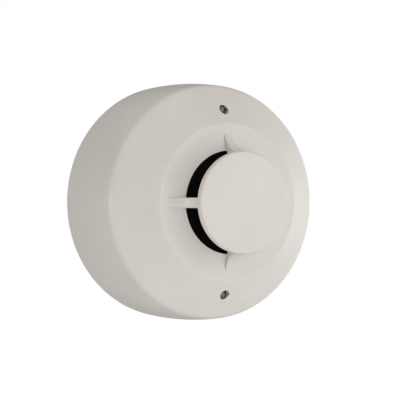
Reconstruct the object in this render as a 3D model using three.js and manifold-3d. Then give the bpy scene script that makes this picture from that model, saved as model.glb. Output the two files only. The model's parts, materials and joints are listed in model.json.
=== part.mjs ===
// Heat detector: a plug-in detector head, held by a bayonet on a round wall base.
// Millimetres. Every piece is drawn with the detector's axis along +Z, standing out from the wall
// plane z = 0, with +Y towards the top. The finished group is turned so that the axis points
// along -Y and the top along +Z.

import * as THREE from "three";
import { mergeVertices } from "three/addons/utils/BufferGeometryUtils.js";
import Module from "manifold-3d";

// ---- Driving dimensions ----

const GAP = 0.3; // left between pieces that touch
const WALL = 2.2; // moulded wall of the cover
const EIGHTH = Math.PI / 4;
const THIRD = (2 * Math.PI) / 3;
const QUARTER = Math.PI / 2;

const COVER = {
  rimRadius: 51, rimZ: 0.8, // edge of the skirt, just off the wall
  wallBow: 51.5, wallBowZ: 16.8, // pulls the side wall slightly convex
  wallTopRadius: 49.3, wallTopZ: 32.8, // where the side wall starts to fold
  foldRadius: 48.6, foldZ: 37.6, // meeting point of side wall and shoulder
  shoulderRadius: 47, shoulderZ: 38.7, // where the straight shoulder starts
  crestRadius: 32, crestZ: 49.2, // ring crest round the dish
  dishDrop: 0.65, dishReach: 3.2, // how the dish leaves the crest
  lipRise: 2.3, lipReach: 3.5, // how it climbs to the lip
  lipRadius: 21.1, lipZ: 50.4, // raised lip round the air opening
  lipLandZ: 48.3, // lower edge of the lip's inner face
  bossRadius: 42, bossSize: 2.8, bossTopZ: 39.8,
};
const WINDOW = { radius: 38.1, size: 2.0 }; // holes for the indicator lenses
const PIPE = { backZ: 29.4, collarZ: 37.4, collar: 1.4, overhang: 1.2, domeZ: 43.3, topZ: 44.2 };
const LAMP = { flange: 1.6, flangeZ: 27.1, dome: 1.3, domeZ: 28.2, topZ: 29.1 };
const GUARD = {
  radius: 20.6, underZ: 57.9, faceZ: 61.4, edge: 1, // round disc over the opening
  recessRadius: 17.6, recessZ: 59.6,
  ribWidth: 4.1, toeRadius: 28.6, toeZ: 49.3, ribTopRadius: 20.4, ribTopZ: 58.6,
  toeReach: 2.6, toeRise: 1, topReach: 1.3, topDrop: 5.7, // how the rib's top edge sweeps between
  ribInnerRadius: 19.2, waistRadius: 20.7, waistZ: 52, // inner edge of a rib, down to the lip
};
const PEG = { // under each rib: goes through cover and liner, then spreads into a staked head
  place: 25, radius: 1.2, hole: 1.5, headRadius: 1.8, headZ: 44.3, endZ: 43.1,
};
const LINER = {
  inner: 21.3, outer: 22.8, floorZ: 36.5, floor: 1.5, topZ: 47.2,
  flangeRadius: 27.5, flangeZ: 44.6, flange: 1.4, postHole: 3.9,
};
const SENSOR = {
  beadRadius: 1.6, beadZ: 52, leadRadius: 0.35, leadSpread: 0.78, postRadius: 3.4, postTopZ: 47,
};
const BOARD = { radius: 41.5, z: 24, thick: 1.6, screwRadius: 33 };
const CHASSIS = {
  radius: 47.3, z: 14, thick: 2, spigotInner: 36.5, spigotOuter: 38.8, spigotZ: 5.3, postSize: 2.8,
};
const BAYONET = {
  angle: THIRD, start: QUARTER, arc: 0.28, // three lugs, 16 degrees long
  headLug: { outer: 41.4, z: 7, top: 9.4 },
  baseLug: { inner: 39.8, z: 10, top: 12 },
  stopGap: 0.03,
};
const BASE = {
  radius: 47.6, thick: 2.6, cableRadius: 16, collar: 1.6, collarZ: 5,
  ringInner: 42, ringOuter: 44, ringZ: 12,
  slotWidth: 4, slotLength: 8, nearSlot: 30, farSlot: 35,
};
const TERMINAL = { inner: 18, outer: 32.5, halfWidth: 4.2, padZ: 5, screw: 22.5, blade: 30 };
const METAL = 0.8; // contact strip
const SPRING = { halfWidth: 3.4, leafHalfWidth: 2.6, leafHeight: 6.2, leafGap: 1 };
const CLAMP = { half: 3.5, lip: 0.8, lipHeight: 1.1 };
const BLADE = { half: 3.5, thick: 1, tipZ: 7, chamfer: 1.2 };
const SCREW = { shank: 1.3, hole: 1.7, head: 2.5, headHeight: 1.6 };
const DIAL = { offset: 8, radius: 3.6, hole: 4.2, z: 12.8, topZ: 16.8, shaft: 1.6, shaftZ: 21 };
const SWITCH = { size: 10, z: 17.3, bore: 1.9 };

const boardBack = BOARD.z - GAP;
const boardFace = BOARD.z + BOARD.thick + GAP;
const chassisFace = CHASSIS.z + CHASSIS.thick;
const lensAngles = { upper: QUARTER, lower: -QUARTER };

// ---- Materials ----

const finish = (color, roughness, metalness = 0) =>
  new THREE.MeshStandardMaterial({ color, roughness, metalness });
const shell = finish(0xd5d0c8, 0.5);
const basePlastic = finish(0xcfcac1, 0.55);
const black = finish(0x0b0b0b, 0.6);
const smoke = finish(0x55514d, 0.25);
const fibreglass = finish(0x1f5a35, 0.55);
const epoxy = finish(0x1a1a1b, 0.45);
const plated = finish(0xc9c5b8, 0.3, 1);
const steel = finish(0xb6b8ba, 0.35, 1);
const ledResin = finish(0xc43a2c, 0.3);
const dialPlastic = finish(0xe4e0d6, 0.5);
const canMetal = finish(0x33384a, 0.4, 0.3);
const disc = finish(0x2f6fa8, 0.45);
const glass = finish(0x9fb5a8, 0.15);

// ---- Geometry helpers ----

const wasm = await Module();
wasm.setup();

// A closed three.js geometry as a solid that can be joined and cut.
function solidOf(geometry) {
  const bare = geometry.clone();
  bare.deleteAttribute("normal");
  bare.deleteAttribute("uv");
  const merged = mergeVertices(bare, 1e-4);
  const triVerts = new Uint32Array(merged.index.array);
  const vertProperties = merged.attributes.position.array;
  return new wasm.Manifold(new wasm.Mesh({ numProp: 3, vertProperties, triVerts }));
}

// Joins the first list of geometries, then cuts the second list away.
function carve(kept, removed = []) {
  const whole = kept.map(solidOf).reduce((sum, next) => sum.add(next));
  const result = removed.map(solidOf).reduce((rest, next) => rest.subtract(next), whole);
  const { vertProperties, triVerts } = result.getMesh();
  const geometry = new THREE.BufferGeometry();
  geometry.setAttribute("position", new THREE.BufferAttribute(vertProperties, 3));
  geometry.setIndex(new THREE.BufferAttribute(triVerts, 1));
  geometry.computeVertexNormals();
  return geometry;
}

// A body of revolution about Z from [radius, z] points. It closes itself unless it ends on the axis.
function turned(outline, segments = 40) {
  const points = outline.map(([r, z]) => new THREE.Vector2(r, z));
  const onAxis = points[0].x === 0 && points.at(-1).x === 0;
  if (!onAxis) points.push(points[0].clone());
  if (THREE.ShapeUtils.area(points) < 0) points.reverse();
  return new THREE.LatheGeometry(points, segments).rotateX(QUARTER);
}

const ring = (inner, outer, z0, z1, segments = 48) =>
  turned([[inner, z0], [outer, z0], [outer, z1], [inner, z1]], segments);

const rod = (radius, z0, z1, x = 0, y = 0, segments = 16) =>
  new THREE.CylinderGeometry(radius, radius, z1 - z0, segments)
    .rotateX(QUARTER)
    .translate(x, y, (z0 + z1) / 2);

const block = (x0, x1, y0, y1, z0, z1) =>
  new THREE.BoxGeometry(x1 - x0, y1 - y0, z1 - z0)
    .translate((x0 + x1) / 2, (y0 + y1) / 2, (z0 + z1) / 2);

const around = (geometry, angle) => geometry.clone().rotateZ(angle);

// A flat fin that stands in the plane of the axis: its outline is [radius, z].
function fin(outline, width) {
  const shape = new THREE.Shape(outline.map(([r, z]) => new THREE.Vector2(r, z)));
  return new THREE.ExtrudeGeometry(shape, { depth: width, bevelEnabled: false })
    .rotateX(QUARTER)
    .translate(0, width / 2, 0);
}

// A stretch of a ring, centred on an angle.
function arcBlock(inner, outer, z0, z1, angle, arc, steps = 5) {
  const shape = new THREE.Shape();
  shape.absarc(0, 0, outer, angle - arc / 2, angle + arc / 2, false);
  shape.absarc(0, 0, inner, angle + arc / 2, angle - arc / 2, true);
  return new THREE.ExtrudeGeometry(shape, { depth: z1 - z0, bevelEnabled: false, curveSegments: steps })
    .translate(0, 0, z0);
}

// A round-ended slot that runs along the radius at an angle.
function radialSlot(radius, width, length, z0, z1, angle) {
  const half = (length - width) / 2;
  const shape = new THREE.Shape();
  shape.absarc(radius - half, 0, width / 2, QUARTER, 3 * QUARTER, false);
  shape.absarc(radius + half, 0, width / 2, -QUARTER, QUARTER, false);
  return new THREE.ExtrudeGeometry(shape, { depth: z1 - z0, bevelEnabled: false, curveSegments: 6 })
    .translate(0, 0, z0)
    .rotateZ(angle);
}

const polar = (radius, angle) => [radius * Math.cos(angle), radius * Math.sin(angle)];

// A machine screw along Z: its head is on the side of the sign given by facing.
function screw(shankFrom, shankTo, headRadius, headHeight, facing) {
  const seat = facing > 0 ? shankTo : shankFrom;
  const top = seat + facing * headHeight;
  const tip = facing > 0 ? shankFrom : shankTo;
  const outline = [
    [0, tip], [SCREW.shank * 0.6, tip], [SCREW.shank, tip + facing * 0.8], [SCREW.shank, seat],
    [headRadius, seat], [headRadius, top - facing * 0.5], [headRadius - 0.5, top], [0, top],
  ];
  const slotHalf = 0.35;
  const slotZ = [top - facing * 0.7, top + facing * 0.5].sort((a, b) => a - b);
  const slot = block(-headRadius, headRadius, -slotHalf, slotHalf, ...slotZ);
  return carve([turned(outline, 12)], [slot]);
}

const detector = new THREE.Group();

function add(name, geometry, material, position = [0, 0, 0], angle = 0) {
  const mesh = new THREE.Mesh(geometry, material);
  mesh.name = name;
  mesh.position.set(...position);
  mesh.rotation.z = angle;
  detector.add(mesh);
}

// ---- Outer cover: skirt, fold, sloping shoulder, ring crest and dish ----

const dish = new THREE.CubicBezierCurve(
  new THREE.Vector2(COVER.crestRadius, COVER.crestZ),
  new THREE.Vector2(COVER.crestRadius - COVER.dishReach, COVER.crestZ - COVER.dishDrop),
  new THREE.Vector2(COVER.lipRadius + COVER.lipReach, COVER.lipZ - COVER.lipRise),
  new THREE.Vector2(COVER.lipRadius, COVER.lipZ),
);

function coverSurface(steps) {
  const c = COVER;
  const path = new THREE.Path();
  path.moveTo(c.rimRadius, c.rimZ);
  path.quadraticCurveTo(c.wallBow, c.wallBowZ, c.wallTopRadius, c.wallTopZ);
  path.quadraticCurveTo(c.foldRadius, c.foldZ, c.shoulderRadius, c.shoulderZ);
  path.lineTo(c.crestRadius, c.crestZ);
  path.curves.push(dish);
  return path.getPoints(steps);
}

// The same surface moved inwards by a wall thickness. The last point, at the lip, is left out.
function insideOf(points, thickness) {
  return points.slice(0, -1).map((point, i) => {
    const along = points[i + 1].clone().sub(points[Math.max(i - 1, 0)]).normalize();
    const z = i === 0 ? point.y : point.y + along.x * thickness;
    return [point.x - along.y * thickness, z];
  });
}

const pegHoles = () =>
  [0, 1, 2, 3].map((i) => rod(PEG.hole, LINER.floorZ, COVER.lipZ, ...polar(PEG.place, i * QUARTER)));

function outerCover() {
  const outside = coverSurface(5).map((p) => [p.x, p.y]);
  const inside = insideOf(coverSurface(2), WALL).reverse();
  const shellSolid = turned([...outside, [COVER.lipRadius, COVER.lipLandZ], ...inside], 56);
  const bosses = [];
  const holes = [];
  for (let i = 0; i < 3; i++) {
    const [x, y] = polar(COVER.bossRadius, i * THIRD);
    bosses.push(rod(COVER.bossSize, chassisFace + GAP, COVER.bossTopZ, x, y));
    holes.push(rod(SCREW.hole, CHASSIS.z, 26, x, y));
  }
  for (const angle of Object.values(lensAngles)) {
    const [x, y] = polar(WINDOW.radius, angle);
    holes.push(rod(WINDOW.size, 30, 55, x, y, 24));
  }
  return carve([shellSolid, ...bosses], [...holes, ...pegHoles()]);
}

add("outer_cover", outerCover(), shell);

// ---- Sensor guard: a disc on four ribs, each pegged through the dish ----

function sensorGuard() {
  const g = GUARD;
  const edge = new THREE.Path();
  edge.absarc(g.radius - g.edge, g.faceZ - g.edge, g.edge, 0, QUARTER, false);
  const disc = turned([
    [0, g.recessZ], [g.recessRadius, g.recessZ], [g.recessRadius + 0.3, g.underZ],
    [g.radius - 0.6, g.underZ], [g.radius, g.underZ + 0.7],
    ...edge.getPoints(3).map((p) => [p.x, p.y]), [0, g.faceZ],
  ], 56);
  const sweep = new THREE.CubicBezierCurve(
    new THREE.Vector2(g.toeRadius, g.toeZ),
    new THREE.Vector2(g.toeRadius - g.toeReach, g.toeZ + g.toeRise),
    new THREE.Vector2(g.ribTopRadius + g.topReach, g.ribTopZ - g.topDrop),
    new THREE.Vector2(g.ribTopRadius, g.ribTopZ),
  );
  const overDish = dish.getPoints(8).reverse().filter((p) => p.x < g.toeRadius);
  const foot = overDish.map((p) => [p.x, p.y + GAP + 0.05]);
  const top = sweep.getPoints(7).map((p) => [p.x, p.y]);
  const inner = [[g.ribInnerRadius, g.ribTopZ], [g.waistRadius, g.waistZ]];
  const rib = fin([...inner, ...foot, ...top], g.ribWidth);
  const peg = turned([
    [0, PEG.endZ], [PEG.headRadius - 0.4, PEG.endZ], [PEG.headRadius, PEG.endZ + 0.4],
    [PEG.headRadius, PEG.headZ], [PEG.radius, PEG.headZ], [PEG.radius, COVER.lipZ], [0, COVER.lipZ],
  ], 14).translate(PEG.place, 0, 0);
  const ribs = [0, 1, 2, 3].flatMap((i) => [around(rib, i * QUARTER), around(peg, i * QUARTER)]);
  return carve([disc, ...ribs]);
}

add("sensor_guard", sensorGuard(), shell);

// ---- Black chamber: liner cup and the thermistor on its post ----

function chamberLiner() {
  const l = LINER;
  const cup = turned([
    [l.postHole, l.floorZ], [l.outer, l.floorZ], [l.outer, l.flangeZ], [l.flangeRadius, l.flangeZ],
    [l.flangeRadius, l.flangeZ + l.flange], [l.outer, l.flangeZ + l.flange], [l.outer, l.topZ],
    [l.inner, l.topZ], [l.inner, l.floorZ + l.floor], [l.postHole, l.floorZ + l.floor],
  ], 40);
  return carve([cup], pegHoles());
}

function thermistor() {
  const s = SENSOR;
  const bead = new THREE.SphereGeometry(s.beadRadius, 12, 6).scale(1, 1, 1.25).translate(0, 0, s.beadZ);
  const leads = [-1, 1].map((side) =>
    rod(s.leadRadius, boardBack - 0.6, s.beadZ, side * s.leadSpread, 0, 8));
  return carve([bead, ...leads]);
}

add("chamber_liner", chamberLiner(), black);
add("thermistor", thermistor(), epoxy);
add("thermistor_post", ring(2, SENSOR.postRadius, boardFace, SENSOR.postTopZ, 20), black);

// ---- Indicator lamps and their light pipes, above and below the guard ----

function lightPipe() {
  const p = PIPE;
  const radius = WINDOW.size - GAP;
  const wide = radius + p.overhang;
  return turned([
    [0, p.backZ], [radius, p.backZ], [radius, p.collarZ], [wide, p.collarZ + 0.2],
    [wide, p.collarZ + p.collar], [radius, p.collarZ + p.collar + 0.2], [radius, p.domeZ],
    [radius * 0.75, p.topZ - 0.3], [0, p.topZ],
  ], 16);
}

const lamp = () => turned([
  [0, boardFace], [LAMP.flange, boardFace], [LAMP.flange, LAMP.flangeZ], [LAMP.dome, LAMP.flangeZ],
  [LAMP.dome, LAMP.domeZ], [LAMP.dome * 0.6, LAMP.topZ - 0.2], [0, LAMP.topZ],
], 14);

for (const [place, angle] of Object.entries(lensAngles)) {
  const [x, y] = polar(WINDOW.radius, angle);
  add("light_pipe_" + place, lightPipe(), smoke, [x, y, 0]);
  add("indicator_led_" + place, lamp(), ledResin, [x, y, 0]);
}

// ---- Circuit board and what is soldered to it ----

function circuitBoard() {
  const holes = [-1, 1].map((side) => rod(0.7, 20, 30, side * SENSOR.leadSpread, 0, 8));
  for (let i = 0; i < 3; i++) {
    holes.push(rod(COVER.bossSize + 0.6, 20, 30, ...polar(COVER.bossRadius, i * THIRD)));
    holes.push(rod(SCREW.hole, 20, 30, ...polar(BOARD.screwRadius, (i + 0.5) * THIRD), 12));
  }
  return carve([rod(BOARD.radius, BOARD.z, BOARD.z + BOARD.thick, 0, 0, 48)], holes);
}

function microcontroller() {
  const body = block(-4.5, 4.5, -4.5, 4.5, 0.3, 1.7);
  const pins = [];
  for (let i = -3; i <= 3; i += 3) {
    pins.push(block(-5.6, 5.6, i - 0.4, i + 0.4, 0, 0.7), block(i - 0.4, i + 0.4, -5.6, 5.6, 0, 0.7));
  }
  return carve([body, ...pins]);
}

function filterCapacitor() {
  return turned([
    [0, 0], [3.2, 0], [3.2, 0.8], [3, 1.2], [3.2, 1.6], [3.2, 7.2], [2.8, 7.6], [0, 7.6],
  ], 20);
}

function surgeSuppressor() {
  const body = new THREE.CylinderGeometry(3.8, 3.8, 2.6, 20).translate(0, 0, 5);
  const leads = [-1, 1].map((side) => rod(0.4, 0, 4, side * 1.8, 0, 8));
  return carve([body, ...leads]);
}

function reedSwitch() {
  const tube = new THREE.CylinderGeometry(1.3, 1.3, 11, 12).rotateZ(QUARTER).translate(0, 0, 2);
  const wire = new THREE.CylinderGeometry(0.35, 0.35, 15, 8).rotateZ(QUARTER).translate(0, 0, 2);
  const legs = [-1, 1].map((side) => rod(0.35, 0, 2.2, side * 7.3, 0, 8));
  return carve([tube, wire, ...legs]);
}

function referenceThermistor() {
  const bead = new THREE.SphereGeometry(1.1, 10, 6).translate(0, 0, 3.2);
  const leads = [-1, 1].map((side) => rod(0.3, 0, 3, side * 0.7, 0, 8));
  return carve([bead, ...leads]);
}

add("circuit_board", circuitBoard(), fibreglass);
add("microcontroller", microcontroller(), epoxy, [15, 13, boardFace]);
add("filter_capacitor", filterCapacitor(), canMetal, [-15, 13, boardFace]);
add("surge_suppressor", surgeSuppressor(), disc, [-14, -14, boardFace]);
add("reed_switch", reedSwitch(), glass, [13, -17, boardFace]);
add("reference_thermistor", referenceThermistor(), epoxy, [34, 12, boardFace]);

// ---- Head chassis: carries the board, the contact blades and the bayonet lugs ----

function headChassis() {
  const c = CHASSIS;
  const lug = BAYONET.headLug;
  const solids = [
    rod(c.radius, c.z, chassisFace, 0, 0, 48),
    ring(c.spigotInner, c.spigotOuter, c.spigotZ, c.z + 1),
  ];
  const holes = [-1, 1].map((side) => rod(DIAL.hole, 10, 20, side * DIAL.offset, 0, 24));
  for (let i = 0; i < 3; i++) {
    const angle = BAYONET.start + i * BAYONET.angle;
    solids.push(arcBlock(c.spigotOuter - 0.5, lug.outer, lug.z, lug.top, angle, BAYONET.arc));
    const [x, y] = polar(BOARD.screwRadius, (i + 0.5) * THIRD);
    solids.push(rod(c.postSize, c.z + 1, boardBack, x, y));
    holes.push(rod(SCREW.shank + GAP, 17, 30, x, y, 12));
    holes.push(rod(SCREW.hole, 10, 20, ...polar(COVER.bossRadius, i * THIRD), 12));
  }
  for (let i = 0; i < 4; i++) {
    const slot = block(TERMINAL.blade - 0.85, TERMINAL.blade + 0.85, -3.9, 3.9, 10, 20);
    holes.push(around(slot, EIGHTH + i * QUARTER));
  }
  return carve(solids, holes);
}

add("head_chassis", headChassis(), basePlastic);

// ---- Address dials: two screwdriver-set rotary switches, read from the back of the head ----

function addressDial() {
  const d = DIAL;
  const body = turned([
    [0, d.z], [d.radius - 0.4, d.z], [d.radius, d.z + 0.4], [d.radius, d.topZ],
    [d.shaft, d.topZ], [d.shaft, d.shaftZ], [0, d.shaftZ],
  ], 20);
  const slot = block(-d.radius * 0.8, d.radius * 0.8, -0.5, 0.5, d.z - 1, d.z + 1);
  const arrow = block(d.radius * 0.45, d.radius * 0.8, -1.1, 1.1, d.z - 1, d.z + 1);
  return carve([body], [slot, arrow]);
}

function rotarySwitch() {
  const half = SWITCH.size / 2;
  const bore = rod(SWITCH.bore, SWITCH.z - 1, DIAL.shaftZ + GAP, 0, 0, 16);
  return carve([block(-half, half, -half, half, SWITCH.z, boardBack)], [bore]);
}

const dialPlaces = { tens: -DIAL.offset, units: DIAL.offset };
for (const [name, x] of Object.entries(dialPlaces)) {
  add("address_dial_" + name, addressDial(), dialPlastic, [x, 0, 0]);
  add("rotary_switch_" + name, rotarySwitch(), epoxy, [x, 0, 0]);
}

// ---- Mounting base: plate, cable opening, screw slots, bayonet ring and terminal pads ----

function mountingBase() {
  const b = BASE;
  const lug = BAYONET.baseLug;
  const solids = [
    ring(b.cableRadius, b.radius, 0, b.thick),
    ring(b.cableRadius, b.cableRadius + b.collar, 1, b.collarZ, 40),
    ring(b.ringInner, b.ringOuter, 1, b.ringZ),
  ];
  const holes = [
    radialSlot(b.nearSlot, b.slotWidth, b.slotLength, -5, 10, 0),
    radialSlot(b.nearSlot, b.slotWidth, b.slotLength, -5, 10, Math.PI),
    radialSlot(b.farSlot, b.slotWidth, b.slotLength, -5, 10, QUARTER),
    radialSlot(b.farSlot, b.slotWidth, b.slotLength, -5, 10, -QUARTER),
  ];
  for (let i = 0; i < 3; i++) {
    const angle = BAYONET.start + i * BAYONET.angle;
    solids.push(arcBlock(lug.inner, b.ringInner + 0.5, lug.z, lug.top, angle, BAYONET.arc));
    const stop = angle - BAYONET.arc / 2 - BAYONET.stopGap - 0.03;
    solids.push(arcBlock(lug.inner, b.ringInner + 0.5, 1, lug.top, stop, 0.06, 2));
  }
  for (let i = 0; i < 4; i++) {
    const angle = EIGHTH + i * QUARTER;
    const t = TERMINAL;
    const pad = block(t.inner, t.outer, -t.halfWidth, t.halfWidth, 1, t.padZ);
    solids.push(around(pad, angle));
    holes.push(rod(SCREW.hole, 1.2, 20, ...polar(t.screw, angle), 12));
  }
  return carve(solids, holes);
}

add("mounting_base", mountingBase(), basePlastic);

// ---- Terminals of the base and the blades of the head that plug into them ----

function terminalSpring() {
  const z = TERMINAL.padZ + GAP;
  const { halfWidth, leafHalfWidth, leafHeight, leafGap } = SPRING;
  const inside = TERMINAL.blade - leafGap;
  const outside = TERMINAL.blade + leafGap;
  return carve([
    block(TERMINAL.inner + 0.7, outside + METAL, -halfWidth, halfWidth, z, z + METAL),
    block(inside - METAL, inside, -leafHalfWidth, leafHalfWidth, z, z + leafHeight),
    block(outside, outside + METAL, -leafHalfWidth, leafHalfWidth, z, z + leafHeight),
  ], [rod(SCREW.hole, 0, 10, TERMINAL.screw, 0, 12)]);
}

function clampPlate() {
  const z = TERMINAL.padZ + METAL + 2 * GAP;
  const { half, lip, lipHeight } = CLAMP;
  const plate = block(-half, half, -half, half, z, z + METAL);
  const lips = [-half, half - lip].map((y) => block(-half, half, y, y + lip, z, z + METAL + lipHeight));
  return carve([plate, ...lips], [rod(SCREW.hole, 0, 20, 0, 0, 12)]);
}

function contactBlade() {
  const { half, thick, tipZ, chamfer } = BLADE;
  const outline = [
    [-half, boardBack], [-half, tipZ + chamfer], [chamfer - half, tipZ],
    [half - chamfer, tipZ], [half, tipZ + chamfer], [half, boardBack],
  ];
  return fin(outline, thick).rotateZ(QUARTER).translate(TERMINAL.blade, 0, 0);
}

for (let i = 0; i < 4; i++) {
  const angle = EIGHTH + i * QUARTER;
  const [x, y] = polar(TERMINAL.screw, angle);
  const seat = TERMINAL.padZ + 2 * METAL + 3 * GAP;
  const number = i + 1;
  add("terminal_spring_" + number, terminalSpring(), plated, [0, 0, 0], angle);
  add("clamp_plate_" + number, clampPlate(), plated, [x, y, 0], angle);
  add("terminal_screw_" + number, screw(1.8, seat, 2.6, 1.9, 1), steel, [x, y, 0], angle);
  add("contact_blade_" + number, contactBlade(), plated, [0, 0, 0], angle);
}

// ---- Screws of the head ----

for (let i = 0; i < 3; i++) {
  const [boardX, boardY] = polar(BOARD.screwRadius, (i + 0.5) * THIRD);
  const [bossX, bossY] = polar(COVER.bossRadius, i * THIRD);
  const number = i + 1;
  const boardScrew = screw(18, boardFace, SCREW.head, SCREW.headHeight, 1);
  const coverScrew = screw(CHASSIS.z - GAP, 25, SCREW.head, 1.2, -1);
  add("board_screw_" + number, boardScrew, steel, [boardX, boardY, 0]);
  add("cover_screw_" + number, coverScrew, steel, [bossX, bossY, 0]);
}

detector.rotation.x = QUARTER;

export default detector;
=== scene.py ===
import json
import math

import bmesh
import bpy
from mathutils import Matrix, Vector


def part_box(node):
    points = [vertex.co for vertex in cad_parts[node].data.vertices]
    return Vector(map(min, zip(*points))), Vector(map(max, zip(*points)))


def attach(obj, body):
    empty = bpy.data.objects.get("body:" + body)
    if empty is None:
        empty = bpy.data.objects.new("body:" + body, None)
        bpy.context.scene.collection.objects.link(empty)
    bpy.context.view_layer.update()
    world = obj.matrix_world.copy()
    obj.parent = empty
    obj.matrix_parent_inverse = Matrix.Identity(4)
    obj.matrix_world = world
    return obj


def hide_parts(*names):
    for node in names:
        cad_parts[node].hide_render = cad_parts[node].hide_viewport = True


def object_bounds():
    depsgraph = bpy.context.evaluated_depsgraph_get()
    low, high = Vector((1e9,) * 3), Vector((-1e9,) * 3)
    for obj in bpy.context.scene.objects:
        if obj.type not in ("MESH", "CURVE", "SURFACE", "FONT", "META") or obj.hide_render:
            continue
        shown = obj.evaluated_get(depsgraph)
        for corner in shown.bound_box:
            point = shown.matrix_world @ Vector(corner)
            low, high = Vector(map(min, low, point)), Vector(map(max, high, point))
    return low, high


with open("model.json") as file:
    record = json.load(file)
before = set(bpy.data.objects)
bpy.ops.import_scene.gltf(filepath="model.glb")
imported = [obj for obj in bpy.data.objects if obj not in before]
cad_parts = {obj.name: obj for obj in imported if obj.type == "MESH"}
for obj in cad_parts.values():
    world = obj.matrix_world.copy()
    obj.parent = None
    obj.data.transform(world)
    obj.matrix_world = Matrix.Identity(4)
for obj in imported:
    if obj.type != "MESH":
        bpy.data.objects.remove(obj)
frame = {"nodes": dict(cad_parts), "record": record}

cad_low, cad_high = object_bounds()

# Pieces are drawn in millimetres with the detector's axis along +Z, standing out from the wall at
# z = 0, and +Y towards the top, as in the CAD source. ROW turns them into the row frame, in metres.
MM = 0.001
ROW = Matrix.Rotation(math.pi / 2, 4, "X") @ Matrix.Scale(MM, 4)
TURN = 2 * math.pi
QUARTER = math.pi / 2
THIRD = TURN / 3
EIGHTH = TURN / 8
SMOOTH_UNDER = 35  # degrees between faces; sharper edges stay sharp


def out_from_wall(node):
    """(lowest, highest) distance of a CAD node from the wall, in millimetres."""
    low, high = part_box(node)
    return -high.y / MM, -low.y / MM


def half_width(node):
    low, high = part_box(node)
    return (high.x - low.x) / 2 / MM


# ---- Sizes, from the frame where it has them ----

RIM_R = 51.0
RIM_Z, LIP_Z = out_from_wall("outer_cover")
WALL = 2.2
FOLD_REACH = 1.8  # how far the fold's rounding runs along the outline, each way
INNER_FOLD = (47.6, 38.3)  # the outside point that the fold's inside is offset from
SIDE = ((RIM_R, RIM_Z), (51.5, 16.8), (49.3, 32.8))  # slightly convex side wall
FOLD = (48.6, 37.6)  # where side wall and shoulder would meet
CREST = (32.0, 49.2)
BOSS_PLACE = 42.0
BOSS_R = 2.8
BOSS_TOP_Z = 39.8
SCREW_PILOT = 1.7
LIP_R = 21.1
LIP_LAND_Z = LIP_Z - 2.1
DISH = (CREST, (28.8, 48.55), (24.6, LIP_Z - 2.3), (LIP_R, LIP_Z))
PIPE_R = 1.7
PIPE_COLLAR_R = 2.9
WINDOW_R = -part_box("light_pipe_lower")[1].z / MM + PIPE_COLLAR_R  # indicator lenses to axis
WINDOW_HOLE = 2.0
WINDOW_BEVEL = 0.22

GUARD_R = 20.6
GUARD_UNDER = 57.9
GUARD_FACE = out_from_wall("sensor_guard")[1]
GUARD_RECESS = (17.6, 59.6)
RIB_WIDTH = 4.1
RIB_TOE_R = half_width("sensor_guard")
RIB_INNER_R = 19.2
RIB_TOP_Z = 59.0
PEG_R = 1.2
PEG_HOLE = 1.5
PEG_PLACE = 25.0
PEG_HEAD_R = 1.8
PEG_HEAD_Z = 44.3
PEG_TOP_Z = 48.8
PEG_END_Z = out_from_wall("sensor_guard")[0]

LINER_HOLE = 3.9  # for the thermistor's post
LINER_INNER_R = 21.3
LINER_R = 22.8
LINER_FLANGE_R = half_width("chamber_liner")
LINER_FLANGE_Z = 44.6


# ---- Mesh helpers ----

def bezier(controls, steps):
    """Points of a Bezier curve of any degree, both ends included."""
    curve = []
    for i in range(steps + 1):
        t = i / steps
        level = [Vector(c) for c in controls]
        while len(level) > 1:
            level = [a.lerp(b, t) for a, b in zip(level, level[1:])]
        curve.append(tuple(level[0]))
    return curve


def soften(outline, closed=True, steps=5):
    """Rounds the corners of an outline. A point is (r, z), or (r, z, reach) where the corner at it is
    rounded off over that distance along the outline on both sides."""
    places = [Vector(p[:2]) for p in outline]
    reaches = [p[2] if len(p) > 2 else 0 for p in outline]
    count = len(places)
    ends = count if closed else count - 1
    along = [0.0]
    for i in range(ends):
        along.append(along[-1] + (places[(i + 1) % count] - places[i]).length)
    total = along[-1]

    def at(s):
        s = s % total if closed else min(max(s, 0.0), total)
        for i in range(ends):
            if s <= along[i + 1] or i == ends - 1:
                share = (s - along[i]) / max(along[i + 1] - along[i], 1e-9)
                return places[i].lerp(places[(i + 1) % count], share)

    def hidden(i):
        for j, reach in enumerate(reaches):
            gap = abs(along[i] - along[j])
            gap = min(gap, total - gap) if closed else gap
            if j != i and reach > 0 and gap < reach:
                return True
        return False

    made = []
    for i, (place, reach) in enumerate(zip(places, reaches)):
        if reach > 0:
            arc = bezier([at(along[i] - reach), place, at(along[i] + reach)], steps)
            made.extend(Vector(p) for p in arc)
        elif not hidden(i):
            made.append(place)
    return made


def mesh_from(vertices, faces):
    bm = bmesh.new()
    verts = [bm.verts.new(v) for v in vertices]
    for face in faces:
        bm.faces.new([verts[i] for i in face])
    bmesh.ops.remove_doubles(bm, verts=bm.verts, dist=1e-4)
    bmesh.ops.recalc_face_normals(bm, faces=bm.faces)
    mesh = bpy.data.meshes.new("made")
    bm.to_mesh(mesh)
    bm.free()
    return mesh


def lathe(outline, segments=96, closed=True):
    """A body of revolution about Z. An outline that isn't closed starts and ends on the axis."""
    rings = len(outline)
    vertices = []
    for i in range(segments):
        angle = TURN * i / segments
        vertices += [(p[0] * math.cos(angle), p[0] * math.sin(angle), p[1]) for p in outline]
    faces = []
    for i in range(segments):
        for j in range(rings if closed else rings - 1):
            a, b = i * rings, (i + 1) % segments * rings
            k = (j + 1) % rings
            corners = [a + j, b + j, b + k, a + k]
            if outline[j][0] < 1e-6:
                corners = [a + j, b + k, a + k]
            elif outline[k][0] < 1e-6:
                corners = [a + j, b + j, a + k]
            faces.append(corners)
    return mesh_from(vertices, faces)


def cylinder(radius, z0, z1, x=0.0, y=0.0, segments=48):
    mesh = lathe([(0, z0), (radius, z0), (radius, z1), (0, z1)], segments, closed=False)
    mesh.transform(Matrix.Translation((x, y, 0)))
    return mesh


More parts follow.
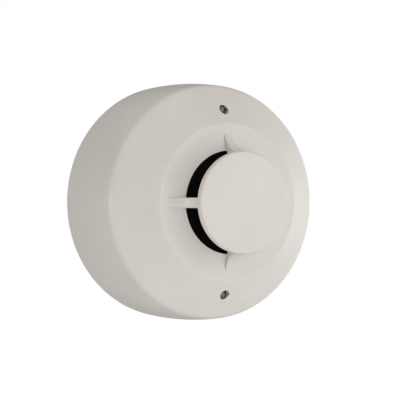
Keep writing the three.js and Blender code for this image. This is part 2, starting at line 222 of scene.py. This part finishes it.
def prism(outline, z0, z1):
    """A flat outline of (x, y) points, made thick along Z."""
    n = len(outline)
    vertices = [(x, y, z) for z in (z0, z1) for x, y in outline]
    sides = [(i, (i + 1) % n, n + (i + 1) % n, n + i) for i in range(n)]
    return mesh_from(vertices, [tuple(range(n)), tuple(range(n, 2 * n)), *sides])


def block(x0, x1, y0, y1, z0, z1):
    return prism([(x0, y0), (x1, y0), (x1, y1), (x0, y1)], z0, z1)


def arc_block(inner, outer, z0, z1, angle, arc, steps=12):
    turns = [angle + arc * (i / steps - 0.5) for i in range(steps + 1)]
    outline = [(outer * math.cos(a), outer * math.sin(a)) for a in turns]
    outline += [(inner * math.cos(a), inner * math.sin(a)) for a in reversed(turns)]
    return prism(outline, z0, z1)


def slot_outline(radius, width, length, angle, steps=12):
    """A round-ended slot that runs along the radius at an angle."""
    half = (length - width) / 2
    points = []
    for end in (-1, 1):
        for i in range(steps + 1):
            a = math.pi * (i / steps) + (QUARTER if end < 0 else -QUARTER)
            points.append((radius + end * half + width / 2 * math.cos(a), width / 2 * math.sin(a)))
    c, s = math.cos(angle), math.sin(angle)
    return [(x * c - y * s, x * s + y * c) for x, y in points]


def turned(mesh, angle):
    copy = mesh.copy()
    copy.transform(Matrix.Rotation(angle, 4, "Z"))
    return copy


def moved(mesh, x=0.0, y=0.0, z=0.0):
    copy = mesh.copy()
    copy.transform(Matrix.Translation((x, y, z)))
    return copy


def polar(radius, angle):
    return radius * math.cos(angle), radius * math.sin(angle)


def scratch(mesh):
    made = bpy.data.objects.new("scratch", mesh)
    bpy.context.scene.collection.objects.link(made)
    return made


def baked(obj):
    """The object's mesh with its modifiers applied. The object goes."""
    bpy.context.view_layer.update()
    graph = bpy.context.evaluated_depsgraph_get()
    mesh = bpy.data.meshes.new_from_object(obj.evaluated_get(graph))
    bpy.data.objects.remove(obj)
    return mesh


def combine(base, others, operation):
    """Joins meshes to a mesh (UNION) or cuts them away from it (DIFFERENCE)."""
    whole = scratch(base)
    tools = [scratch(m) for m in others]
    for tool in tools:
        boolean = whole.modifiers.new("boolean", "BOOLEAN")
        boolean.operation = operation
        boolean.solver = "EXACT"
        boolean.object = tool
    mesh = baked(whole)
    for tool in tools:
        bpy.data.objects.remove(tool)
    return mesh


def join(base, others):
    return combine(base, others, "UNION")


def cut(base, others):
    return combine(base, others, "DIFFERENCE")


def rounded(mesh, width, segments=2, angle=40):
    """Bevels every edge sharper than angle, in degrees."""
    obj = scratch(mesh)
    bevel = obj.modifiers.new("bevel", "BEVEL")
    bevel.width = width
    bevel.segments = segments
    bevel.limit_method = "ANGLE"
    bevel.angle_limit = math.radians(angle)
    bevel.use_clamp_overlap = True
    return baked(obj)


def piece(name, mesh, body, stands_for, slot):
    """Puts a mesh into the scene, in the row frame, as a piece that rides on a body. It stands for a
    CAD node, and its material is the look of that node's slot."""
    mesh.name = name
    mesh.transform(ROW)
    mesh.materials.clear()
    mesh.materials.append(LOOKS[slot])
    mesh.shade_smooth()
    mesh.set_sharp_from_angle(angle=math.radians(SMOOTH_UNDER))
    obj = bpy.data.objects.new(name, mesh)
    bpy.context.scene.collection.objects.link(obj)
    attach(obj, body)
    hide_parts(stands_for)


# ---- Materials ----

class Recipe:
    """A node material that is built up step by step."""

    def __init__(self, name):
        self.material = bpy.data.materials.new(name)
        self.material.use_nodes = True
        self.tree = self.material.node_tree
        self.shader = self.tree.nodes["Principled BSDF"]
        self.place = self.node("ShaderNodeTexCoord").outputs["Object"]

    def node(self, kind, **values):
        made = self.tree.nodes.new(kind)
        for key, value in values.items():
            setattr(made, key, value)
        return made

    def link(self, source, target):
        self.tree.links.new(source, target)

    def set(self, **values):
        names = {
            "specular": "Specular IOR Level", "coat": "Coat Weight", "coat_roughness": "Coat Roughness",
            "metallic": "Metallic", "roughness": "Roughness",
        }
        for key, value in values.items():
            self.shader.inputs[names[key]].default_value = value

    def noise(self, feature, detail=2.0, roughness=0.5, stretch=None):
        """Noise whose features are about this many millimetres across."""
        made = self.node("ShaderNodeTexNoise")
        made.inputs["Scale"].default_value = 1 / (feature * MM)
        made.inputs["Detail"].default_value = detail
        made.inputs["Roughness"].default_value = roughness
        place = self.place
        if stretch:
            mapping = self.node("ShaderNodeMapping")
            mapping.inputs["Scale"].default_value = stretch
            self.link(place, mapping.inputs["Vector"])
            place = mapping.outputs["Vector"]
        self.link(place, made.inputs["Vector"])
        return made.outputs["Fac"]

    def spread(self, value, low, high, from_low=0.3, from_high=0.7):
        made = self.node("ShaderNodeMapRange")
        made.inputs["From Min"].default_value = from_low
        made.inputs["From Max"].default_value = from_high
        made.inputs["To Min"].default_value = low
        made.inputs["To Max"].default_value = high
        self.link(value, made.inputs["Value"])
        return made.outputs["Result"]

    def mix(self, share, first, second):
        made = self.node("ShaderNodeMix", data_type="RGBA")
        for socket, colour in ((6, first), (7, second)):
            if hasattr(colour, "is_linked"):
                self.link(colour, made.inputs[socket])
            else:
                made.inputs[socket].default_value = (*colour, 1)
        self.link(share, made.inputs[0])
        return made.outputs[2]

    def edges(self, low=0.52, high=0.6):
        """Goes from 0 on flat stretches to 1 on outside edges."""
        point = self.node("ShaderNodeNewGeometry").outputs["Pointiness"]
        return self.spread(point, 0.0, 1.0, low, high)

    def bump(self, heights):
        """Each height is (noise, size in millimetres)."""
        normal = None
        for height, size in heights:
            made = self.node("ShaderNodeBump")
            made.inputs["Strength"].default_value = 1.0
            made.inputs["Distance"].default_value = size * MM
            self.link(height, made.inputs["Height"])
            if normal:
                self.link(normal, made.inputs["Normal"])
            normal = made.outputs["Normal"]
        self.link(normal, self.shader.inputs["Normal"])

    def paint(self, colour):
        self.link(colour, self.shader.inputs["Base Color"])

    def gloss(self, value):
        self.link(value, self.shader.inputs["Roughness"])


def shade(colour, factor):
    return tuple(min(1.0, c * factor) for c in colour)


def moulded(name, colour, roughness, grain=0.004):
    """Moulded plastic: cloudy tone, fine spark-eroded grain, worn and slightly polished edges."""
    m = Recipe(name)
    m.set(specular=0.4)
    cloud = m.mix(m.spread(m.noise(18, 3), 0, 1), shade(colour, 0.975), shade(colour, 1.02))
    fleck = m.mix(m.spread(m.noise(0.35, 1), 0, 1, 0.62, 0.8), cloud, shade(colour, 0.93))
    m.paint(m.mix(m.edges(), fleck, shade(colour, 1.03)))
    m.gloss(m.spread(m.noise(6, 3), roughness - 0.05, roughness + 0.05))
    m.bump([(m.noise(30, 1), 0.03), (m.noise(0.45, 2, 0.6), grain)])
    return m.material


def smoked_lens():
    """Smoke-tinted clear plastic, polished, with fine moulding swirl and dust."""
    m = Recipe("smoked_lens")
    m.set(specular=0.5, coat=0.5, coat_roughness=0.12)
    tint = (0.105, 0.098, 0.092)
    swirl = m.mix(m.spread(m.noise(1.2, 2), 0, 1), shade(tint, 0.8), shade(tint, 1.25))
    m.paint(m.mix(m.spread(m.noise(0.15, 1), 0, 1, 0.66, 0.8), swirl, shade(tint, 2.2)))
    m.gloss(m.spread(m.noise(0.8, 2), 0.16, 0.34))
    m.bump([(m.noise(0.9, 2), 0.01)])
    return m.material


def black_moulded():
    m = Recipe("black_moulded")
    m.set(specular=0.08)
    black = (0.0085, 0.008, 0.006)
    m.paint(m.mix(m.spread(m.noise(2.5, 3), 0, 1), shade(black, 0.8), shade(black, 1.4)))
    m.gloss(m.spread(m.noise(3, 2), 0.55, 0.75))
    m.bump([(m.noise(0.4, 2), 0.01)])
    return m.material


def board_mask():
    """Solder mask over copper tracks, with bright pads."""
    m = Recipe("board_mask")
    m.set(specular=0.5)
    tracks = m.node("ShaderNodeTexBrick")
    tracks.inputs["Scale"].default_value = 1 / (9 * MM)
    tracks.inputs["Mortar Size"].default_value = 0.03
    tracks.inputs["Color1"].default_value = (0.012, 0.095, 0.035, 1)
    tracks.inputs["Color2"].default_value = (0.014, 0.11, 0.042, 1)
    tracks.inputs["Mortar"].default_value = (0.03, 0.2, 0.07, 1)
    turn = m.node("ShaderNodeMapping")
    turn.inputs["Rotation"].default_value = (QUARTER, 0, 0)
    m.link(m.place, turn.inputs["Vector"])
    m.link(turn.outputs["Vector"], tracks.inputs["Vector"])
    pad = m.spread(m.noise(1.6, 0), 0, 1, 0.7, 0.72)
    m.paint(m.mix(pad, tracks.outputs["Color"], (0.55, 0.53, 0.48)))
    m.gloss(m.spread(m.noise(2, 2), 0.25, 0.45))
    m.bump([(m.noise(1.0, 2), 0.015)])
    return m.material


def metal(name, colour, roughness, stretch):
    """Plated metal with fine drawn lines and a little tarnish."""
    m = Recipe(name)
    m.set(metallic=1.0)
    tarnish = m.mix(m.spread(m.noise(3, 3), 0, 1), shade(colour, 0.82), colour)
    m.paint(m.mix(m.edges(), tarnish, shade(colour, 1.15)))
    m.gloss(m.spread(m.noise(0.4, 2, 0.5, stretch), roughness - 0.08, roughness + 0.1))
    m.bump([(m.noise(0.3, 2, 0.5, stretch), 0.006)])
    return m.material


def resin(name, colour, roughness, coat=0.0, speck=1.5):
    """Cast or dipped resin: mottled, softly glossy, slightly uneven."""
    m = Recipe(name)
    m.set(coat=coat, coat_roughness=0.15, specular=0.5)
    mottle = m.mix(m.spread(m.noise(1.5, 3), 0, 1), shade(colour, 0.8), shade(colour, 1.2))
    m.paint(m.mix(m.spread(m.noise(0.2, 1), 0, 1, 0.66, 0.8), mottle, shade(colour, speck)))
    m.gloss(m.spread(m.noise(1, 2), roughness - 0.08, roughness + 0.08))
    m.bump([(m.noise(0.8, 2), 0.02)])
    return m.material


BONE = (0.70, 0.662, 0.612)
LOOKS = {
    "cover_plastic": moulded("cover_moulding", BONE, 0.42),
    "base_plastic": moulded("base_moulding", shade(BONE, 0.94), 0.55, grain=0.006),
    "dial_plastic": moulded("dial_moulding", (0.74, 0.71, 0.63), 0.45),
    "black_plastic": black_moulded(),
    "smoked_lens": smoked_lens(),
    "led_resin": resin("led_resin", (0.45, 0.04, 0.03), 0.25, coat=0.6),
    "board_fibreglass": board_mask(),
    "epoxy_black": resin("black_epoxy", (0.014, 0.014, 0.015), 0.5, speck=3),
    "can_sleeve": resin("can_sleeve", (0.02, 0.025, 0.06), 0.3, coat=0.3),
    "disc_coating": resin("disc_coating", (0.03, 0.11, 0.28), 0.4),
    "reed_glass": resin("reed_glass", (0.2, 0.3, 0.24), 0.12, coat=0.8),
    "plated_brass": metal("plated_brass", (0.72, 0.69, 0.6), 0.28, (1, 1, 0.1)),
    "screw_steel": metal("screw_steel", (0.6, 0.6, 0.6), 0.35, (0.2, 1, 1)),
}


# ---- Outer cover ----

def offset_inwards(points, distance):
    """The points moved to the left of the way they run, which is into the wall of the cover."""
    made = []
    for i, point in enumerate(points):
        before, after = points[max(i - 1, 0)], points[min(i + 1, len(points) - 1)]
        way = (Vector(after) - Vector(before)).normalized()
        made.append((point[0] - way.y * distance, point[1] + way.x * distance))
    return made


def cover_outline():
    side = bezier(SIDE, 16)
    dish = bezier(DISH, 28)
    surface = [(RIM_R, RIM_Z, 0.5), *side[1:], (*FOLD, FOLD_REACH)]
    surface += bezier((FOLD, CREST), 24)[4:-1]
    surface += [(*CREST, 0.6)] + dish[1:-1] + [(*dish[-1], 0.45)]
    rough = [*bezier(SIDE, 4), INNER_FOLD, CREST, *bezier(DISH, 6)[1:-2]]
    inside = offset_inwards(rough, WALL)
    inside[0] = (inside[0][0], RIM_Z, 0.4)
    return soften([*surface, (LIP_R, LIP_LAND_Z, 0.2), *reversed(inside)])


def round_holes(mesh, radius, width):
    """Bevels the edges where holes of this radius, parallel to the axis, meet the surface."""
    bm = bmesh.new()
    bm.from_mesh(mesh)
    rim = []
    for edge in bm.edges:
        if len(edge.link_faces) != 2:
            continue
        from_axis = [math.hypot(v.co.x, abs(v.co.y) - WINDOW_R) for v in edge.verts]
        near = [abs(distance - radius) < 0.01 for distance in from_axis]
        flat = [abs(f.normal.z) < 0.1 for f in edge.link_faces]
        if all(near) and flat[0] != flat[1]:
            rim.append(edge)
    bmesh.ops.bevel(
        bm, geom=rim, offset=width, offset_type="OFFSET", segments=3, affect="EDGES",
        profile=0.5, clamp_overlap=True)
    bm.to_mesh(mesh)
    bm.free()
    return mesh


def peg_holes():
    return [cylinder(PEG_HOLE, 40, LIP_Z, *polar(PEG_PLACE, i * QUARTER), 32) for i in range(4)]


def outer_cover():
    shell = lathe(cover_outline(), 256)
    holes = [cylinder(WINDOW_HOLE, 30, 55, 0, side * WINDOW_R, 40) for side in (-1, 1)]
    shell = round_holes(cut(shell, holes), WINDOW_HOLE, WINDOW_BEVEL)
    shell = cut(shell, peg_holes())
    bosses = []
    pilots = []
    for i in range(3):
        x, y = polar(BOSS_PLACE, i * THIRD)
        bosses.append(cylinder(BOSS_R, 16.3, BOSS_TOP_Z, x, y, 32))
        pilots.append(cylinder(SCREW_PILOT, 14, 26, x, y, 24))
    return cut(join(shell, bosses), pilots)


# ---- Sensor guard ----

def guard_rib():
    """One rib in the plane of the axis, as rings across its width. The edges of its hollow top are
    rounded, and its foot stands a little into the dish so that it grows out of it."""
    sink = 0.4
    sweep = bezier((
        (RIB_TOE_R + 0.3, 48.5), (25.6, 49.6), (21.6, 51.2), (GUARD_R - 0.2, RIB_TOP_Z)), 28)
    foot = [(r, z - sink) for r, z in reversed(bezier(DISH, 20)) if r < RIB_TOE_R + 0.4]
    inner = [
        (RIB_INNER_R, RIB_TOP_Z), (RIB_INNER_R, GUARD_UNDER + 0.6),
        (RIB_INNER_R + 0.2, 56.4), (RIB_INNER_R + 0.5, 51.0),
    ]
    rest = inner + foot
    edge = 0.45
    half = RIB_WIDTH / 2
    steps = 5
    rings = []
    for i in range(steps + 1):
        a = QUARTER * i / steps
        rings.append((half - edge + edge * math.sin(a), edge * (1 - math.cos(a))))
    rings = [(-v, drop) for v, drop in reversed(rings)] + rings
    vertices = []
    for v, drop in rings:
        top = offset_inwards(sweep, drop)
        vertices += [(r, v, z) for r, z in rest + top]
    n = len(rest) + len(sweep)
    faces = [tuple(range(n)), tuple(range(len(vertices) - n, len(vertices)))]
    for k in range(len(rings) - 1):
        for j in range(n):
            a, b = k * n, (k + 1) * n
            faces.append((a + j, a + (j + 1) % n, b + (j + 1) % n, b + j))
    return mesh_from(vertices, faces)


def sensor_guard():
    recess_r, recess_z = GUARD_RECESS
    outline = [
        (0, recess_z), (recess_r, recess_z, 0.5), (17.9, GUARD_UNDER, 0.3), (20.1, GUARD_UNDER, 0.3),
        (GUARD_R, GUARD_UNDER + 0.6, 0.4), (GUARD_R, GUARD_FACE, 1.15), (0, GUARD_FACE),
    ]
    disc = lathe(soften(outline, closed=False), 192, closed=False)
    outline = [
        (0, PEG_END_Z), (PEG_HEAD_R, PEG_END_Z, 0.6), (PEG_HEAD_R, PEG_HEAD_Z, 0.2),
        (PEG_R, PEG_HEAD_Z, 0.1), (PEG_R, PEG_TOP_Z), (0, PEG_TOP_Z),
    ]
    peg = moved(lathe(soften(outline, closed=False), 32, closed=False), PEG_PLACE)
    ribs = [turned(part, i * QUARTER) for part in (guard_rib(), peg) for i in range(4)]
    return join(disc, ribs)


# ---- Chamber, thermistor and windows ----

def chamber_liner():
    floor_z, top_z = out_from_wall("chamber_liner")
    outline = [
        (LINER_HOLE, floor_z, 0.2), (LINER_R, floor_z, 0.6), (LINER_R, LINER_FLANGE_Z, 0.4),
        (LINER_FLANGE_R, LINER_FLANGE_Z, 0.3), (LINER_FLANGE_R, 46, 0.3), (LINER_R, 46, 0.4),
        (LINER_R, top_z, 0.3), (LINER_INNER_R, top_z, 0.3), (LINER_INNER_R, 38, 0.9),
        (LINER_HOLE, 38, 0.3),
    ]
    return cut(lathe(soften(outline), 128), peg_holes())


def thermistor():
    foot, top = out_from_wall("thermistor")
    bead = [(0, 0), (0.9, 0.2), (1.45, 0.9), (1.6, 2.0), (1.45, 3.1), (0.95, 3.9), (0.75, 4.3), (0, 4.4)]
    outline = [(r, top - drop, 0.3) if r else (r, top - drop) for r, drop in bead]
    body = lathe(soften(outline, closed=False), 40, closed=False)
    leads = [cylinder(0.35, foot, top - 3, side * 0.78, 0, 16) for side in (-1, 1)]
    return join(body, leads)


def thermistor_post():
    foot, top = out_from_wall("thermistor_post")
    outline = [(2, foot, 0.1), (3.4, foot, 0.2), (3.4, top, 0.5), (2, top, 0.3)]
    return lathe(soften(outline), 48)


def light_pipe(side):
    outline = [
        (0, 29.4), (PIPE_R, 29.4, 0.2), (PIPE_R, 37.4, 0.2), (PIPE_COLLAR_R, 37.6, 0.3),
        (PIPE_COLLAR_R, 38.8, 0.3), (PIPE_R, 39, 0.2), (PIPE_R, 43.2, 0.8), (0, 44.15),
    ]
    return moved(lathe(soften(outline, closed=False), 48, closed=False), 0, side * WINDOW_R)


# ---- Head chassis and dials ----

DIAL_X = 8.0
DIAL_HOLE = 4.2
DIAL_MARKS = 10
CHASSIS_Z = 14.0
CHASSIS_FACE = 16.0
LUG_ARC = 0.28
BOARD_POST_PLACE = 33.0


def head_chassis():
    outline = [
        (0, CHASSIS_Z), (36.5, CHASSIS_Z, 0.4), (36.5, 5.3, 0.4), (38.8, 5.3, 0.4),
        (38.8, CHASSIS_Z, 0.4), (47.3, CHASSIS_Z, 0.5), (47.3, CHASSIS_FACE, 0.5), (0, CHASSIS_FACE),
    ]
    plate = lathe(soften(outline, closed=False, steps=3), 144, closed=False)
    added = []
    for i in range(3):
        lug = arc_block(38.3, 41.4, 7, 9.4, QUARTER + i * THIRD, LUG_ARC)
        added.append(rounded(lug, 0.3))
        post = polar(BOARD_POST_PLACE, (i + 0.5) * THIRD)
        added.append(cylinder(2.8, 15, 23.7, *post, 32))
    bezel_inner = DIAL_HOLE + 0.01
    bezel = [(bezel_inner, 13.6, 0.1), (5.3, 13.6, 0.2), (5.3, 15), (bezel_inner, 15)]
    for side in (-1, 1):
        added.append(moved(lathe(soften(bezel), 48), side * DIAL_X))
        for k in range(DIAL_MARKS):
            angle = TURN * k / DIAL_MARKS + QUARTER
            tick = turned(block(5.9, 7.2, -0.2, 0.2, 13.7, 15), angle)
            added.append(moved(tick, side * DIAL_X))
    removed = [cylinder(DIAL_HOLE, 10, 20, side * DIAL_X, 0, 48) for side in (-1, 1)]
    for i in range(3):
        removed.append(cylinder(1.6, 17, 30, *polar(BOARD_POST_PLACE, (i + 0.5) * THIRD), 24))
        removed.append(cylinder(SCREW_PILOT, 10, 20, *polar(BOSS_PLACE, i * THIRD), 24))
    for i in range(4):
        slot = block(29.15, 30.85, -3.9, 3.9, 10, 20)
        removed.append(turned(slot, EIGHTH + i * QUARTER))
    return cut(join(plate, added), removed)


def address_dial(x):
    outline = [
        (0, 12.8), (3.6, 12.8, 0.5), (3.6, 16.8, 0.2), (1.6, 16.8, 0.1), (1.6, 21, 0.2), (0, 21),
    ]
    body = lathe(soften(outline, closed=False), 64, closed=False)
    slot = block(-2.9, 2.9, -0.5, 0.5, 11.8, 13.8)
    arrow = prism([(1.7, -1.1), (2.9, 0), (1.7, 1.1)], 11.8, 13.8)
    return moved(rounded(cut(body, [slot, arrow]), 0.08, 2, 50), x)


# ---- Mounting base ----

BASE_R = half_width("mounting_base")
RAIL_ARC = 0.28
STOP_ARC = 0.06
SCREW_SLOTS = ((0, 30), (math.pi, 30), (QUARTER, 35), (-QUARTER, 35))  # angle, distance from axis
STIFFENING_RIBS = 16


def mounting_base():
    outline = [
        (16, 0.0, 0.5), (17.6, 0.0, 0.4), (18.6, 0.8, 0.4), (44.2, 0.8, 0.4), (45.2, 0.0, 0.4),
        (BASE_R, 0.0, 0.6), (BASE_R, 2.6, 0.5), (44, 2.6, 0.4), (44, 12, 0.4), (42, 12, 0.4),
        (42, 2.6, 0.4), (17.6, 2.6, 0.4), (17.6, 5, 0.4), (16, 5, 0.4),
    ]
    plate = lathe(soften(outline, steps=3), 160)
    added = []
    removed = []
    for i in range(3):
        angle = QUARTER + i * THIRD
        added.append(arc_block(39.8, 42.5, 10, 12, angle, RAIL_ARC))
        stop_angle = angle - RAIL_ARC / 2 - STOP_ARC
        added.append(arc_block(39.8, 42.5, 1, 12, stop_angle, STOP_ARC, 3))
    for i in range(4):
        angle = EIGHTH + i * QUARTER
        added.append(turned(block(18, 32.5, -4.2, 4.2, 1.2, 5), angle))
        removed.append(cylinder(1.7, 1.6, 20, *polar(22.5, angle), 24))
    for angle, radius in SCREW_SLOTS:
        land = prism(slot_outline(radius, 8, 12, angle), 0, 1.5)
        added.append(rounded(land, 0.2))
        removed.append(prism(slot_outline(radius, 4, 8, angle), -5, 10))
    for k in range(STIFFENING_RIBS):
        angle = TURN * (k + 0.5) / STIFFENING_RIBS
        added.append(turned(block(18.2, 44.6, -0.5, 0.5, 0.05, 1.5), angle))
    return rounded(cut(join(plate, added), removed), 0.15, 2, 45)


# ---- The pieces ----

def head_piece(name, mesh, stands_for, slot):
    piece(name, mesh, "head", stands_for, slot)


head_piece("cover_shell", outer_cover(), "outer_cover", "cover_plastic")
head_piece("guard_moulding", sensor_guard(), "sensor_guard", "cover_plastic")
head_piece("chamber_cup", chamber_liner(), "chamber_liner", "black_plastic")
head_piece("thermistor_bead", thermistor(), "thermistor", "epoxy_black")
head_piece("thermistor_tube", thermistor_post(), "thermistor_post", "black_plastic")
for place, side in (("upper", 1), ("lower", -1)):
    head_piece("window_" + place, light_pipe(side), "light_pipe_" + place, "smoked_lens")
head_piece("chassis_moulding", head_chassis(), "head_chassis", "base_plastic")
for name, x in (("tens", -DIAL_X), ("units", DIAL_X)):
    piece("dial_rotor_" + name, address_dial(x), "dial_" + name, "address_dial_" + name, "dial_plastic")
piece("base_moulding", mounting_base(), "base", "mounting_base", "base_plastic")

# CAD nodes that stay take the look of their slot in the record.
for entry in frame["record"]["subparts"]:
    node = frame["nodes"][entry["node"]]
    if node.hide_render:
        continue
    node.data.materials.clear()
    node.data.materials.append(LOOKS[entry["material_slot"]])


# ---- Floor, light and camera ----

FLOOR_Z = -0.7  # far below, so that the lights under the detector clear it
FLOOR_HALF = 1.6
AMBIENT = 0.195
WHITE = (1.0, 1.0, 1.0, 1.0)

floor_mesh = bpy.data.meshes.new("floor")
corners = [(x * FLOOR_HALF, y * FLOOR_HALF, FLOOR_Z) for x, y in ((-1, -1), (1, -1), (1, 1), (-1, 1))]
floor_mesh.from_pydata(corners, [], [(0, 1, 2, 3)])
floor = bpy.data.objects.new("floor", floor_mesh)
bpy.context.scene.collection.objects.link(floor)
paper = Recipe("paper")
paper.paint(paper.mix(paper.spread(paper.noise(300, 2), 0, 1), (0.9, 0.9, 0.9), (0.93, 0.93, 0.93)))
paper.set(roughness=0.8)
floor_mesh.materials.append(paper.material)

# The room's light is soft white; the camera sees a plain white backdrop.
world = bpy.data.worlds.new("studio")
bpy.context.scene.world = world
world.use_nodes = True
sky = world.node_tree.nodes["Background"]
sky.inputs["Color"].default_value = WHITE
sky.inputs["Strength"].default_value = AMBIENT
backdrop = world.node_tree.nodes.new("ShaderNodeBackground")
backdrop.inputs["Color"].default_value = WHITE
backdrop.inputs["Strength"].default_value = 1.0
seen = world.node_tree.nodes.new("ShaderNodeLightPath")
either = world.node_tree.nodes.new("ShaderNodeMixShader")
links = world.node_tree.links
links.new(seen.outputs["Is Camera Ray"], either.inputs[0])
links.new(sky.outputs[0], either.inputs[1])
links.new(backdrop.outputs[0], either.inputs[2])
links.new(either.outputs[0], world.node_tree.nodes["World Output"].inputs["Surface"])

# name: way from the detector to the light, distance and width in metres, watts
LIGHTS = {
    "big_front": ((0.3, -1.0, 0.0), 0.9, 1.4, 6.3),
    "front": ((-0.1, -1.0, 0.0), 0.9, 0.6, 0.82),
    "front_high": ((0.0, -1.0, 0.7), 0.8, 0.5, 0.45),
    "left": ((-1.0, 0.02, 0.0), 0.9, 0.3, 2.3),
    "right": ((1.0, -0.15, -0.1), 0.8, 0.5, 0.8),
    "back_right": ((1.0, 0.55, 0.0), 0.8, 0.8, 1.6),
    "back_left": ((-1.0, 0.55, 0.0), 0.8, 0.8, 0.88),
    "back_top": ((0.0, 0.55, 1.0), 0.6, 0.6, 0.35),
    "above": ((0.1, -0.15, 1.0), 0.8, 0.6, 0.9),
    "below": ((0.1, -0.15, -1.0), 0.6, 0.5, 0.3),
}
middle = (cad_low + cad_high) / 2
for name, (way, distance, width, watts) in LIGHTS.items():
    lamp = bpy.data.lights.new(name, "AREA")
    lamp.shape = "DISK"
    lamp.size = width
    lamp.energy = watts
    holder = bpy.data.objects.new(name, lamp)
    holder.location = middle + Vector(way).normalized() * distance
    holder.rotation_euler = (middle - holder.location).to_track_quat("-Z", "Y").to_euler()
    holder.visible_camera = False
    bpy.context.scene.collection.objects.link(holder)

CAMERA_TURN = math.radians(30.09)  # the camera stands this far to the detector's left
CAMERA_RISE = math.radians(0.47)  # and this far above its axis
CAMERA_ROLL = math.radians(-0.22)
CAMERA_FAR = 0.51
AIM_RIGHT = 0.01254  # the view's middle, right of and above the middle of the base
AIM_UP = 0.00062
LENS = 103.1
way_right = Vector((math.cos(CAMERA_TURN), -math.sin(CAMERA_TURN), 0))
way_out = Vector((-math.sin(CAMERA_TURN), -math.cos(CAMERA_TURN), 0))
way_back = way_out * math.cos(CAMERA_RISE) + Vector((0, 0, math.sin(CAMERA_RISE)))
aim = way_right * AIM_RIGHT + Vector((0, 0, AIM_UP))
camera_data = bpy.data.cameras.new("camera")
camera_data.lens = LENS
camera_data.sensor_width = 36
camera_data.clip_start = 0.01
camera = bpy.data.objects.new("camera", camera_data)
camera.location = aim + way_back * CAMERA_FAR
aimed = (-way_back).to_track_quat("-Z", "Y").to_matrix()
camera.rotation_euler = (aimed @ Matrix.Rotation(CAMERA_ROLL, 3, "Z")).to_euler()
bpy.context.scene.collection.objects.link(camera)
bpy.context.scene.camera = camera
bpy.context.scene.view_settings.view_transform = "Standard"
